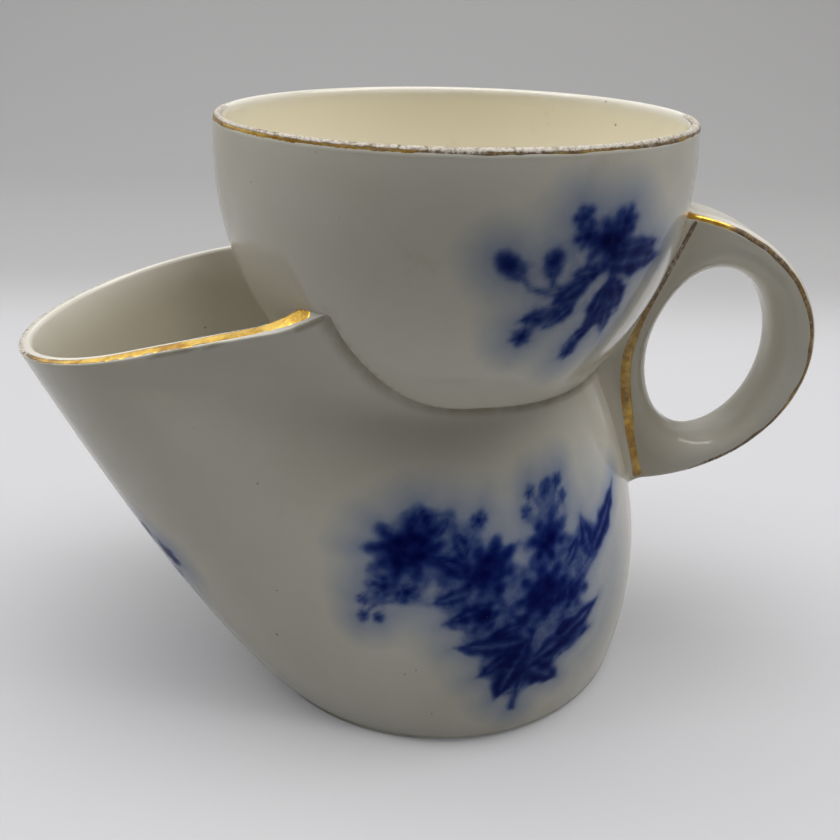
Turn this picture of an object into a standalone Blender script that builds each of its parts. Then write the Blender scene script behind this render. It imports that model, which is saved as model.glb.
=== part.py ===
"""Shaving scuttle: a glazed earthenware reservoir with a wide spout, a soap bowl set into it and a ring handle.

Metres, +Z up. The foot stands on Z = 0, the spout points to -X and the handle to +X. The bowl's upright axis
stands at X = AXIS_X, which centres the whole object on the origin. The two sides of Y = 0 are alike.
"""

import math

import bmesh
import bpy
import numpy as np
from mathutils import Matrix

# Overall height, from the foot to the top of the gilded bowl rim
HEIGHT = 0.1029

# Clearances and films
FIT_GAP = 0.0003
SLIP_FILM = 0.0006
GILT_FILM = 0.0003

# Waist, where the outside of the bowl goes down into the reservoir
WAIST_RADIUS = 0.0276
WAIST_HEIGHT_SHARE = 0.5987
WAIST_SIDE_ANGLE = math.radians(55.4)

# Soap bowl
BOWL_RIM_RADIUS = 0.0389
BOWL_WALL = 0.0034
BOWL_RIM_WALL = 0.0018
BOWL_LIP_ROUND = 0.0009
BOWL_BELLY_EXTRA = 0.0020
BOWL_BELLY_SHARE = 0.5233
BOWL_SIDE_UP = 0.0118
BOWL_SIDE_DOWN = 0.0090
BOWL_FLOOR_RADIUS = 0.0130
BOWL_FLOOR_DEPTH = 0.0146
BOWL_CORNER_OUT = 0.0070
DRAIN_RADIUS = 0.0020
DRAIN_CIRCLE_RADIUS = 0.0080
DRAIN_COUNT = 6

# Reservoir
BASE_RADIUS = 0.0370
BODY_LOW_EXTRA = 0.0040
BODY_LOW_SHARE = 0.325
BODY_HIGH_EXTRA = 0.0015
BODY_HIGH_SHARE = 0.585
BODY_NECK_INSET = 0.0004
NECK_FLARE_RATIO = 0.32
BODY_WALL = 0.0034
BODY_FLOOR = 0.0040
FLOOR_CORNER = 0.0040
FOOT_RECESS = 0.0015
FOOT_RING_WIDTH = 0.0050
FOOT_EDGE = 0.0008

# Spout
SPOUT_REACH = 0.0762
SPOUT_TIP_RADIUS = 0.0303
SPOUT_LIP_SHARE = 0.6324
SPOUT_REACH_POWER = 0.752
SPOUT_WIDTH_POWER = 0.934
MOUTH_SLOPE_RATIO = 0.21
LIP_ROUND = 0.0010

# Handle
HANDLE_PROJECTION = 0.0381
HANDLE_ARC_DEPTH = 0.0306
HANDLE_HALF_HEIGHT = 0.0259
HANDLE_RISE = 0.0010
HANDLE_WIDTH = 0.0125
HANDLE_ROUND = 0.0024
HANDLE_LIMB = 0.0068
HOLE_HALF_WIDTH = 0.0111
HOLE_HALF_HEIGHT = 0.0162

# Gilded lines
RIM_LINE_FROM = math.radians(0)
RIM_LINE_TO = math.radians(80)
EDGE_LINE_INSET = 0.0010
EDGE_LINE_WIDTH = 0.0012
ROOT_LINE_OFFSET = 0.0022
ROOT_LINE_WIDTH = 0.0020

# Fineness of the meshes
TURN_STEPS = 48
BOWL_STEPS = 9
PROFILE_STEPS = 12
ROUND_STEPS = 4
BACK_STEPS = 10
FLANK_STEPS = 5
TIP_STEPS = 9
WALL_ROWS = 13
NECK_ROWS = 4
NECK_SHARE = 0.96
ROW_POWER = 1.3
MERGE = 0.00001
LEAST_RUN = 0.0015
SHARP_ANGLE = math.radians(38)

# Sizes that follow from the ones above
WAIST_HEIGHT = WAIST_HEIGHT_SHARE * HEIGHT
CERAMIC_TOP = HEIGHT - FIT_GAP - GILT_FILM
RIM_HALF = BOWL_RIM_WALL / 2
RIM_CENTRE_HEIGHT = CERAMIC_TOP - BOWL_LIP_ROUND
BOWL_FLOOR_HEIGHT = WAIST_HEIGHT - BOWL_FLOOR_DEPTH
JOINT_GAP = 2 * FIT_GAP + SLIP_FILM
SPOUT_LIP_HEIGHT = SPOUT_LIP_SHARE * HEIGHT
FLOOR_TOP = FOOT_RECESS + BODY_FLOOR
NECK_RADIUS = WAIST_RADIUS - BODY_NECK_INSET
HANDLE_REACH = WAIST_RADIUS + HANDLE_PROJECTION
HANDLE_CENTRE = HANDLE_REACH - HANDLE_ARC_DEPTH
HOLE_CENTRE = HANDLE_REACH - HANDLE_LIMB - HOLE_HALF_WIDTH
HANDLE_MIDDLE = WAIST_HEIGHT + HANDLE_RISE
HANDLE_TOP = HANDLE_MIDDLE + HANDLE_HALF_HEIGHT
HANDLE_BOTTOM = HANDLE_MIDDLE - HANDLE_HALF_HEIGHT


def bezier(start, lead, trail, end, steps):
    """Points of a cubic curve from start to end, both included."""
    t = np.linspace(0.0, 1.0, steps + 1)[:, None]
    corners = [np.asarray(point, float) for point in (start, lead, trail, end)]
    weights = [(1 - t) ** 3, 3 * (1 - t) ** 2 * t, 3 * (1 - t) * t**2, t**3]
    return sum(weight * corner for weight, corner in zip(weights, corners))


def bowl_outside():
    """The bowl's outer side as (radius, height), from the edge of its floor up to the start of its rim."""
    waist = np.array([WAIST_RADIUS, WAIST_HEIGHT])
    along = np.array([math.cos(WAIST_SIDE_ANGLE), math.sin(WAIST_SIDE_ANGLE)])
    floor_edge = (BOWL_FLOOR_RADIUS, BOWL_FLOOR_HEIGHT)
    corner = (BOWL_FLOOR_RADIUS + BOWL_CORNER_OUT, BOWL_FLOOR_HEIGHT)
    belly_height = WAIST_HEIGHT + BOWL_BELLY_SHARE * (HEIGHT - WAIST_HEIGHT)
    belly = (BOWL_RIM_RADIUS + BOWL_BELLY_EXTRA, belly_height)
    rim = (BOWL_RIM_RADIUS, RIM_CENTRE_HEIGHT)
    low = bezier(floor_edge, corner, waist - BOWL_SIDE_DOWN * along, waist, BOWL_STEPS)
    high = bezier(waist, waist + BOWL_SIDE_UP * along, belly, rim, BOWL_STEPS)
    return np.concatenate([low, high[1:]])


def bowl_thickness():
    """Thickness of the bowl's wall along its side: even below the waist, then thinning to the rim."""
    up = (BOWL_SIDE[:, 1] - WAIST_HEIGHT) / (RIM_CENTRE_HEIGHT - WAIST_HEIGHT)
    return BOWL_WALL + (BOWL_RIM_WALL - BOWL_WALL) * np.clip(up, 0.0, 1.0)


def bowl_offset(distance):
    """The bowl's outer side moved outward by a distance, or by one for each of its points, square to itself."""
    side = bowl_outside()
    run = np.gradient(side, axis=0)
    run /= np.linalg.norm(run, axis=1, keepdims=True)
    run[0] = (1.0, 0.0)
    run[-1] = (0.0, 1.0)
    outward = np.stack([run[:, 1], -run[:, 0]], axis=1)
    return side + np.reshape(distance, (-1, 1)) * outward


def body_side():
    """The round back of the reservoir as (radius, height), from the foot up to the neck."""
    low = (BASE_RADIUS + BODY_LOW_EXTRA, BODY_LOW_SHARE * WAIST_HEIGHT)
    high = (BASE_RADIUS + BODY_HIGH_EXTRA, BODY_HIGH_SHARE * WAIST_HEIGHT)
    return bezier((BASE_RADIUS, 0.0), low, high, (NECK_RADIUS, WAIST_HEIGHT), 8 * PROFILE_STEPS)


BODY_SIDE = body_side()
BOWL_SIDE = bowl_outside()


def back_radius(height):
    """Radius of the reservoir's round back; above the waist it widens again inside the bowl's outline."""
    below = np.interp(height, BODY_SIDE[:, 1], BODY_SIDE[:, 0])
    return below + NECK_FLARE_RATIO * np.maximum(height - WAIST_HEIGHT, 0.0)


def bowl_radius(height):
    """Outer radius of the bowl at a height."""
    return np.interp(height, BOWL_SIDE[:, 1], BOWL_SIDE[:, 0])


def columns():
    """For each point round a plan outline: whether it's on the back, a flank or the tip, how far along, which side."""
    back = [(0, i / BACK_STEPS) for i in range(BACK_STEPS + 1)]
    flank = [(1, i / FLANK_STEPS) for i in range(1, FLANK_STEPS)]
    tip = [(2, i / TIP_STEPS) for i in range(TIP_STEPS + 1)]
    half = back + flank + tip
    loop = [(kind, share, 1.0) for kind, share in half]
    loop += [(kind, share, -1.0) for kind, share in half[-2:0:-1]]
    return np.array(loop)


COLUMNS = columns()


def outline(height, inset):
    """Plan points about the bowl's axis, one for each column at its own height, drawn in by the inset.

    The outline is the hull of two circles: the round back, and the spout's tip, which moves out with height.
    """
    kind, share, side = COLUMNS.T
    up = np.clip(height / SPOUT_LIP_HEIGHT, 0.0, None)
    reach = BASE_RADIUS + (SPOUT_REACH - BASE_RADIUS) * up**SPOUT_REACH_POWER
    tip = BASE_RADIUS + (SPOUT_TIP_RADIUS - BASE_RADIUS) * np.minimum(up, 1.0) ** SPOUT_WIDTH_POWER
    run = np.maximum(reach - tip, LEAST_RUN)
    back = back_radius(height)
    turn = np.arccos(np.clip((tip - back) / run, -0.9, 0.9))
    back = back - inset
    tip = tip - inset
    angle = np.where(kind == 0, share * turn, np.where(kind == 1, turn, turn + share * (math.pi - turn)))
    slide = np.where(kind == 0, 0.0, np.where(kind == 1, share, 1.0))
    radius = back + (tip - back) * slide
    x = radius * np.cos(angle) - run * slide
    y = radius * np.sin(angle) * side
    return np.stack([x, y], axis=1)


def mouth_height():
    """Height of the sloping mouth plane at each column of the reservoir's outside."""
    height = np.full(len(COLUMNS), SPOUT_LIP_HEIGHT)
    for _ in range(24):
        height = SPOUT_LIP_HEIGHT + MOUTH_SLOPE_RATIO * (SPOUT_REACH + outline(height, 0.0)[:, 0])
    return height


MOUTH = mouth_height()


def row(height, inset, shape_height=None):
    """One ring of 3-D points: the plan outline at shape_height, set at the given height."""
    height = np.broadcast_to(np.asarray(height, float), MOUTH.shape)
    plan = outline(height if shape_height is None else np.full(MOUTH.shape, shape_height), inset)
    return np.column_stack([plan, height])


def wall_heights(low, high):
    """Heights of the wall's rings at each column, with one ring at the waist, or just under a lower lip."""
    knee = np.minimum(WAIST_HEIGHT, low + NECK_SHARE * (high - low))
    heights = [low + (knee - low) * (i / WALL_ROWS) ** ROW_POWER for i in range(WALL_ROWS)]
    return heights + [knee + (high - knee) * i / NECK_ROWS for i in range(NECK_ROWS + 1)]


def reservoir_rows():
    """Rings of the reservoir's wall: under the foot, up the outside, over the lip, down the inside to the floor."""
    turns = np.linspace(0.0, math.pi / 2, ROUND_STEPS)
    shoulder = MOUTH - LIP_ROUND
    inner_foot = FLOOR_TOP + FLOOR_CORNER
    rows = [row(FOOT_RECESS, FOOT_RING_WIDTH + FOOT_EDGE, 0.0), row(0.0, FOOT_RING_WIDTH)]
    rows += [row(0.0, FOOT_EDGE)]
    rows += [row(height, 0.0) for height in wall_heights(FOOT_EDGE, shoulder)]
    rows += [row(shoulder + LIP_ROUND * math.sin(a), LIP_ROUND * (1 - math.cos(a))) for a in turns[1:]]
    rows += [row(shoulder + LIP_ROUND * math.sin(a), BODY_WALL - LIP_ROUND * (1 - math.cos(a)))
             for a in turns[::-1]]
    rows += [row(height, BODY_WALL) for height in wall_heights(inner_foot, shoulder)[-2::-1]]
    rows += [row(inner_foot - FLOOR_CORNER * math.sin(a), BODY_WALL + FLOOR_CORNER * (1 - math.cos(a)))
             for a in turns[1:]]
    return rows


SPOUT_EXTENT = -min(ring[:, 0].min() for ring in reservoir_rows())
AXIS_X = (SPOUT_EXTENT - HANDLE_REACH) / 2


def clear_scene():
    for item in list(bpy.data.objects):
        bpy.data.objects.remove(item, do_unlink=True)


def collection(name):
    made = bpy.data.collections.new(name)
    bpy.context.scene.collection.children.link(made)
    return made


def material(name, colour, roughness, metallic):
    made = bpy.data.materials.new(name)
    made.use_nodes = True
    shader = made.node_tree.nodes["Principled BSDF"]
    shader.inputs["Base Color"].default_value = (*colour, 1.0)
    shader.inputs["Roughness"].default_value = roughness
    shader.inputs["Metallic"].default_value = metallic
    return made


def add(name, mesh, home):
    """A named object on the bowl's axis."""
    made = bpy.data.objects.new(name, mesh)
    made.location = (AXIS_X, 0.0, 0.0)
    home.objects.link(made)
    return made


def finish(piece, surface):
    piece.data.materials.append(surface)
    piece.data.shade_smooth()
    piece.data.set_sharp_from_angle(angle=SHARP_ANGLE)
    return piece


def helper(piece):
    piece.hide_render = True
    piece.display_type = "WIRE"
    return piece


def lathe(name, profile, home, closed=False):
    """A solid of revolution from (radius, height) points that run down its outer side."""
    count = len(profile)
    mesh = bpy.data.meshes.new(name)
    edges = [(i, i + 1) for i in range(count - 1)]
    if closed:
        edges.append((count - 1, 0))
    mesh.from_pydata([(radius, 0.0, height) for radius, height in profile], edges, [])
    made = add(name, mesh, home)
    turn = made.modifiers.new("turn", "SCREW")
    turn.axis = "Z"
    turn.steps = TURN_STEPS
    turn.render_steps = TURN_STEPS
    turn.use_merge_vertices = True
    turn.merge_threshold = MERGE
    turn.use_smooth_shade = True
    return made


def loft(name, rows, home, ring=False):
    """Quads between rings of points; the first and last rings are capped, or joined to each other."""
    mesh = bpy.data.meshes.new(name)
    build = bmesh.new()
    loops = [[build.verts.new(point) for point in points] for points in rows]
    pairs = list(zip(loops, loops[1:]))
    if ring:
        pairs.append((loops[-1], loops[0]))
    else:
        build.faces.new(loops[0][::-1])
        build.faces.new(loops[-1])
    for low, high in pairs:
        for i, corner in enumerate(low):
            after = (i + 1) % len(low)
            build.faces.new((corner, low[after], high[after], high[i]))
    bmesh.ops.recalc_face_normals(build, faces=build.faces)
    build.to_mesh(mesh)
    build.free()
    return add(name, mesh, home)


def ellipse(centre, middle, half_width, half_height):
    """Control points of an upright ellipse: each point, with the points that bend the curve before and after it."""
    bend = 4 / 3 * (math.sqrt(2) - 1)
    points = []
    for quarter in range(4):
        angle = quarter * math.pi / 2
        c, s = math.cos(angle), math.sin(angle)
        x, z = centre + half_width * c, middle + half_height * s
        dx, dz = -half_width * s * bend, half_height * c * bend
        points.append(((x, z), (x - dx, z - dz), (x + dx, z + dz)))
    return points


def plate(name, outlines, front, back, rounding, home):
    """A flat upright piece between two values of Y: closed outlines filled, inner ones as holes, edges rounded."""
    curve = bpy.data.curves.new(name, "CURVE")
    curve.dimensions = "2D"
    curve.fill_mode = "BOTH"
    curve.resolution_u = PROFILE_STEPS
    curve.extrude = (back - front) / 2 - rounding
    curve.bevel_depth = rounding
    curve.bevel_resolution = ROUND_STEPS // 2
    curve.offset = -rounding
    for points in outlines:
        spline = curve.splines.new("BEZIER")
        spline.bezier_points.add(len(points) - 1)
        spline.use_cyclic_u = True
        for knot, (place, before, after) in zip(spline.bezier_points, points):
            knot.co = (*place, 0.0)
            knot.handle_left = (*before, 0.0)
            knot.handle_right = (*after, 0.0)
    flat = bpy.data.objects.new(name + "_outline", curve)
    mesh = bpy.data.meshes.new_from_object(flat)
    bpy.data.objects.remove(flat)
    mesh.name = name
    mesh.transform(Matrix.Translation((0.0, (front + back) / 2, 0.0)) @ Matrix.Rotation(math.pi / 2, 4, "X"))
    build = bmesh.new()
    build.from_mesh(mesh)
    bmesh.ops.remove_doubles(build, verts=build.verts, dist=MERGE)
    bmesh.ops.recalc_face_normals(build, faces=build.faces)
    build.to_mesh(mesh)
    build.free()
    return add(name, mesh, home)


def combine(piece, other, operation):
    step = piece.modifiers.new(other.name, "BOOLEAN")
    step.operation = operation
    step.solver = "EXACT"
    step.object = other
    return piece


def bowl_envelope(name, distance, home):
    """All that lies within a distance of the bowl, and straight up above it."""
    side = bowl_offset(distance)[::-1]
    top = HEIGHT + HANDLE_HALF_HEIGHT
    profile = [(0.0, top), (side[0][0], top), *side, (0.0, side[-1][1])]
    return helper(lathe(name, profile, home))


def waist_envelope(name, distance, home):
    """The bowl's and the reservoir's round backs together, larger by a distance, along the handle's height."""
    low, high = HANDLE_BOTTOM - HANDLE_LIMB, HANDLE_TOP + HANDLE_LIMB
    fine = np.linspace(low, high, 40 * PROFILE_STEPS)
    crease = fine[np.argmin(np.maximum(back_radius(fine), bowl_radius(fine)))]
    heights = np.unique(np.append(np.linspace(low, high, 2 * PROFILE_STEPS), crease))[::-1]
    radii = np.maximum(back_radius(heights), bowl_radius(heights)) + distance
    profile = [(0.0, high), *zip(radii, heights), (0.0, low)]
    return helper(lathe(name, profile, home))


def rim_point(rim, distance, angle):
    """A point on the bowl's oval lip, or a distance outside it; the angle is 0 outward and a quarter turn at the top."""
    return (rim[0] + (RIM_HALF + distance) * math.cos(angle),
            rim[1] + (BOWL_LIP_ROUND + distance) * math.sin(angle))


def build_bowl(home, cutters, glaze):
    inside = bowl_offset(-bowl_thickness())
    outside = bowl_offset(0.0)[::-1]
    rim = (inside[-1] + outside[0]) / 2
    turns = np.linspace(math.pi, 0.0, 2 * ROUND_STEPS + 1)[1:-1]
    lip = [rim_point(rim, 0.0, a) for a in turns]
    profile = [(0.0, inside[0][1]), *inside, *lip, *outside, (0.0, outside[-1][1])]
    bowl = lathe("soap_bowl", profile, home)
    spots = [(0.0, 0.0)]
    for i in range(DRAIN_COUNT):
        angle = 2 * math.pi * i / DRAIN_COUNT
        spots.append((DRAIN_CIRCLE_RADIUS * math.cos(angle), DRAIN_CIRCLE_RADIUS * math.sin(angle)))
    mesh = bpy.data.meshes.new("drain_holes")
    build = bmesh.new()
    for x, y in spots:
        place = Matrix.Translation((x, y, BOWL_FLOOR_HEIGHT + BOWL_WALL / 2))
        bmesh.ops.create_cone(build, cap_ends=True, segments=TURN_STEPS // 3, radius1=DRAIN_RADIUS,
                              radius2=DRAIN_RADIUS, depth=3 * BOWL_WALL, matrix=place)
    build.to_mesh(mesh)
    build.free()
    combine(bowl, helper(add("drain_holes", mesh, cutters)), "DIFFERENCE")
    return finish(bowl, glaze), rim


def build_rim_line(home, rim, gold):
    """The gilded line over the outer shoulder of the bowl's rim."""
    turns = np.linspace(RIM_LINE_TO, RIM_LINE_FROM, ROUND_STEPS + 1)
    outer = [rim_point(rim, FIT_GAP + GILT_FILM, a) for a in turns]
    inner = [rim_point(rim, FIT_GAP, a) for a in turns[::-1]]
    return finish(lathe("bowl_rim_gilding", outer + inner, home, closed=True), gold)


def build_mouth_line(home, gold, cutter):
    """The gilded line along the flat top of the spout's lip, from one side of the bowl round to the other."""
    low, high = MOUTH + FIT_GAP, MOUTH + FIT_GAP + GILT_FILM
    outer, inner = LIP_ROUND, BODY_WALL - LIP_ROUND
    rows = [row(low, outer), row(high, outer), row(high, inner), row(low, inner)]
    line = loft("spout_rim_gilding", rows, home, ring=True)
    return finish(combine(line, cutter, "DIFFERENCE"), gold)


def build_handle_lines(home, gold, root_inside, root_outside, edge_stop):
    """On each face of the handle: a gilded line round its outer edge, and one along its root."""
    face = HANDLE_WIDTH / 2 + FIT_GAP
    ring = [ellipse(HANDLE_CENTRE, HANDLE_MIDDLE, HANDLE_ARC_DEPTH - inset, HANDLE_HALF_HEIGHT - inset)
            for inset in (EDGE_LINE_INSET, EDGE_LINE_INSET + EDGE_LINE_WIDTH)]
    for side, front, back in (("near", -face - GILT_FILM, -face), ("far", face, face + GILT_FILM)):
        line = plate("handle_edge_gilding_" + side, ring, front, back, 0.0, home)
        finish(combine(line, edge_stop, "DIFFERENCE"), gold)
        root = plate("handle_root_gilding_" + side, ring[:1], front, back, 0.0, home)
        combine(root, root_outside, "INTERSECT")
        finish(combine(root, root_inside, "DIFFERENCE"), gold)


def main():
    clear_scene()
    parts = collection("shaving_scuttle")
    cutters = collection("cutters")
    glaze = material("white_glaze", (0.84, 0.82, 0.76), 0.16, 0.0)
    slip = material("glazed_slip", (0.76, 0.74, 0.68), 0.3, 0.0)
    gold = material("worn_gold", (0.72, 0.48, 0.13), 0.3, 1.0)

    bowl_clear = bowl_envelope("bowl_clear", JOINT_GAP, cutters)
    slip_outside = bowl_envelope("slip_outside", FIT_GAP + SLIP_FILM, cutters)
    slip_inside = bowl_envelope("slip_inside", FIT_GAP, cutters)
    body = loft("reservoir_body", reservoir_rows(), parts)
    finish(combine(body, bowl_clear, "DIFFERENCE"), glaze)
    seam = loft("bowl_slip_joint", reservoir_rows(), parts)
    combine(seam, slip_outside, "INTERSECT")
    finish(combine(seam, slip_inside, "DIFFERENCE"), slip)
    rim = build_bowl(parts, cutters, glaze)[1]

    shape = [ellipse(HANDLE_CENTRE, HANDLE_MIDDLE, HANDLE_ARC_DEPTH, HANDLE_HALF_HEIGHT),
             ellipse(HOLE_CENTRE, WAIST_HEIGHT, HOLE_HALF_WIDTH, HOLE_HALF_HEIGHT)]
    half = HANDLE_WIDTH / 2
    handle = plate("handle", shape, -half, half, HANDLE_ROUND, parts)
    finish(combine(handle, waist_envelope("handle_clear", JOINT_GAP, cutters), "DIFFERENCE"), glaze)
    joint = plate("handle_slip_joint", shape, -half, half, HANDLE_ROUND, parts)
    combine(joint, waist_envelope("joint_outside", FIT_GAP + SLIP_FILM, cutters), "INTERSECT")
    finish(combine(joint, waist_envelope("joint_inside", FIT_GAP, cutters), "DIFFERENCE"), slip)

    build_rim_line(parts, rim, gold)
    build_mouth_line(parts, gold, bowl_clear)
    root_end = ROOT_LINE_OFFSET + ROOT_LINE_WIDTH
    root_inside = waist_envelope("root_line_inside", ROOT_LINE_OFFSET, cutters)
    root_outside = waist_envelope("root_line_outside", root_end, cutters)
    edge_stop = waist_envelope("edge_line_stop", root_end + FIT_GAP, cutters)
    build_handle_lines(parts, gold, root_inside, root_outside, edge_stop)


main()
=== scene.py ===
"""Looks of a flow-blue shaving scuttle: glazed reservoir, soap bowl, ring handle and worn gilding.

Sizes are in millimetres about the bowl's upright axis, with the spout to -X and the handle to +X. They are
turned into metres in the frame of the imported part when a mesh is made.
"""

from math import cos, degrees, pi, radians, sin

import bpy
import numpy as np
from mathutils import Matrix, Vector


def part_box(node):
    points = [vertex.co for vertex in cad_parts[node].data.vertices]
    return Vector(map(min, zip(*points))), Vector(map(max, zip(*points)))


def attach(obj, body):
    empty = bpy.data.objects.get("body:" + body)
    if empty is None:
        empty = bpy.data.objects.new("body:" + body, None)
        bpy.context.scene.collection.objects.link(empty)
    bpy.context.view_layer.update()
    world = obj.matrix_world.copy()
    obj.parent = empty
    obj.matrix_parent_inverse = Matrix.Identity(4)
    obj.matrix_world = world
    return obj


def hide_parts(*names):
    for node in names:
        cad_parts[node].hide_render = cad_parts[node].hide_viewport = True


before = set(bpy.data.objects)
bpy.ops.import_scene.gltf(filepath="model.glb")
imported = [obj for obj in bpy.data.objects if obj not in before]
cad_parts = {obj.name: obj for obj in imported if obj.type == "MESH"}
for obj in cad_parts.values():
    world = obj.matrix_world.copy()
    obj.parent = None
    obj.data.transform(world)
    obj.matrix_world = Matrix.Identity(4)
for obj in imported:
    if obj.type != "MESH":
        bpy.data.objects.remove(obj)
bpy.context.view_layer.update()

MM = 0.001
AXIS_X = (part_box("soap_bowl")[0][0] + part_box("soap_bowl")[1][0]) / 2 / MM

# Waist and soap bowl
WAIST_RADIUS = 27.6
WAIST_HEIGHT = 61.608
WAIST_SIDE_ANGLE = radians(55.4)
BOWL_RIM_RADIUS = 38.9
BOWL_BELLY = (40.9, 83.22)
BOWL_SIDE_UP = 11.8
BOWL_SIDE_DOWN = 9.0
BOWL_CORNER = 7.0
BOWL_WALL = 3.4
RIM_WALL = 1.8
LIP_RISE = 1.4
BOWL_SHOULDER = 101.4
BOWL_FLOOR_RADIUS = 13.0
BOWL_FLOOR_HEIGHT = 47.0
DRAIN_RADIUS = 2.0
DRAIN_CIRCLE = 8.0
DRAIN_FLARE = 0.9

# Reservoir and spout
BASE_RADIUS = 37.0
BODY_LOW_EXTRA = 4.0
BODY_LOW_SHARE = 0.325
BODY_HIGH_EXTRA = 1.5
BODY_HIGH_SHARE = 0.585
NECK_RADIUS = 27.2
NECK_FLARE = 0.32
NECK_TAPER = 0.44
WALL_NEAR = 4.6
WALL_FAR = 2.8
WALL_TIP = 2.2
WALL_FILLET = 2.6
FLOOR_TOP = 5.5
FLOOR_CORNER = 4.0
FOOT_RECESS = 1.5
FOOT_RING = 5.0
FOOT_EDGE = 0.8
SPOUT_REACH = 76.2
SPOUT_TIP_RADIUS = 30.3
SPOUT_LIP_HEIGHT = 65.076
SPOUT_REACH_POWER = 0.752
SPOUT_WIDTH_POWER = 0.934
MOUTH_SLOPE = 0.21
MOUTH_OUTER_ROUND = 0.45
MOUTH_INNER_ROUND = 0.8
MOUTH_TILT = 0.4
SEAT_DEPTH = 1.2
KNEE_BLEND = 2.4
LIP_END = 0.93
LIP_CURL_RUN = 6.0
LIP_CURL = 1.6

# Way across the lip: where its flat top starts and ends, and what of the wall each of its three parts takes
LIP_TOP_START = 0.20
LIP_TOP_END = 0.74
LIP_PARTS = (0.11, 0.67, 0.22)

# Handle
HANDLE_CENTRE = (35.1, 62.61)
HANDLE_HALF = (30.6, 25.9)
HOLE_CENTRE = (47.8, 61.6)
HOLE_HALF = (11.1, 16.2)
HANDLE_HALF_WIDTH = 6.25
HOLE_ROUND = 5.4
EDGE_ROUND = 1.7
ROOT_FILLET = 3.0

# Gilding
GILT_LIFT = 0.06
GILT_SINK = 0.16

# Flow-blue prints: how far past its edge the ink still has a distance, and where each lies on the outside
INK_REACH = 7.0
PRINT_TOP = 51.0
LARGE_SPRAY_ARC = 45.0
TIP_SPRAY_SHIFT = 17.0
BOWL_PRINT_RADIUS = 37.0
FAR_SMALL_SPRAY_ARC = 46.0

# Arc along the reservoir's outside from its back to columns 0 to 3
COLUMN_ARCS = np.array([0.0, 63.6, 88.5, 136.3])


def ease(value, low, high):
    """0 below low, 1 above high, and an S-curve between them."""
    share = np.clip((value - low) / (high - low), 0.0, 1.0)
    return share * share * (3.0 - 2.0 * share)


def bezier(start, lead, trail, end, steps):
    """Points of a cubic curve from start to end, both included."""
    t = np.linspace(0.0, 1.0, steps + 1)[:, None]
    weights = ((1 - t) ** 3, 3 * (1 - t) ** 2 * t, 3 * (1 - t) * t**2, t**3)
    return sum(weight * np.asarray(point, float) for weight, point in zip(weights, (start, lead, trail, end)))


def ripple(first, second, seed, size):
    """Smooth random field over two coordinates, from 0 to 1, with patches of about the given size.

    A fixed random number sits on each corner of a square lattice; values between corners are S-curve blends.
    """
    lattice = np.random.default_rng(seed).random((64, 64))
    a, b = first / size, second / size
    i, j = np.floor(a).astype(int), np.floor(b).astype(int)
    s, t = ease(a - i, 0.0, 1.0), ease(b - j, 0.0, 1.0)
    i0, i1, j0, j1 = i % 64, (i + 1) % 64, j % 64, (j + 1) % 64
    low = lattice[i0, j0] * (1 - s) + lattice[i1, j0] * s
    high = lattice[i0, j1] * (1 - s) + lattice[i1, j1] * s
    return low * (1 - t) + high * t


def spread(zones, length):
    """Places from 0 to length, spaced by the step of their zone: (zone end, step) pairs in order."""
    ends = np.array([0.0] + [end for end, _ in zones])
    counts = np.array([0.0] + [(b - a) / step for a, b, step in zip(ends, ends[1:], [s for _, s in zones])])
    total = np.cumsum(counts)
    places = np.interp(np.linspace(0.0, total[-1], int(round(total[-1])) + 1), total, ends)
    return places * length / places[-1]


# Side of the bowl


def bowl_outside():
    """Outer side of the bowl as (radius, height): a curve from floor to waist, and one on to the shoulder."""
    waist = np.array([WAIST_RADIUS, WAIST_HEIGHT])
    along = np.array([cos(WAIST_SIDE_ANGLE), sin(WAIST_SIDE_ANGLE)])
    low = bezier((BOWL_FLOOR_RADIUS, BOWL_FLOOR_HEIGHT), (BOWL_FLOOR_RADIUS + BOWL_CORNER, BOWL_FLOOR_HEIGHT),
                 waist - BOWL_SIDE_DOWN * along, waist, 60)
    high = bezier(waist, waist + BOWL_SIDE_UP * along, BOWL_BELLY, (BOWL_RIM_RADIUS, BOWL_SHOULDER), 240)
    return np.concatenate([low, high[1:]])


BOWL_SIDE = bowl_outside()
BACK_SIDE = bezier((BASE_RADIUS, 0.0),
                   (BASE_RADIUS + BODY_LOW_EXTRA, BODY_LOW_SHARE * WAIST_HEIGHT),
                   (BASE_RADIUS + BODY_HIGH_EXTRA, BODY_HIGH_SHARE * WAIST_HEIGHT),
                   (NECK_RADIUS, WAIST_HEIGHT), 200)


def bowl_radius(height):
    """Outer radius of the bowl at a height."""
    return np.interp(height, BOWL_SIDE[:, 1], BOWL_SIDE[:, 0])


def back_radius(height, soft=0.0):
    """Radius of the reservoir's round back at a height, narrowing to the waist and widening again above it.

    Soft, from 0 to 1, rounds the knee between the two runs.
    """
    over = np.maximum(height - WAIST_HEIGHT, 0.0)
    narrowing = np.interp(height, BACK_SIDE[:, 1], BACK_SIDE[:, 0]) - NECK_TAPER * over
    widening = NECK_RADIUS + NECK_FLARE * (height - WAIST_HEIGHT)
    near = np.clip(1.0 - np.abs(narrowing - widening) / KNEE_BLEND, 0.0, 1.0)
    return np.maximum(narrowing, widening) + soft * near * near * KNEE_BLEND / 4.0


# Wall of the reservoir


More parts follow.
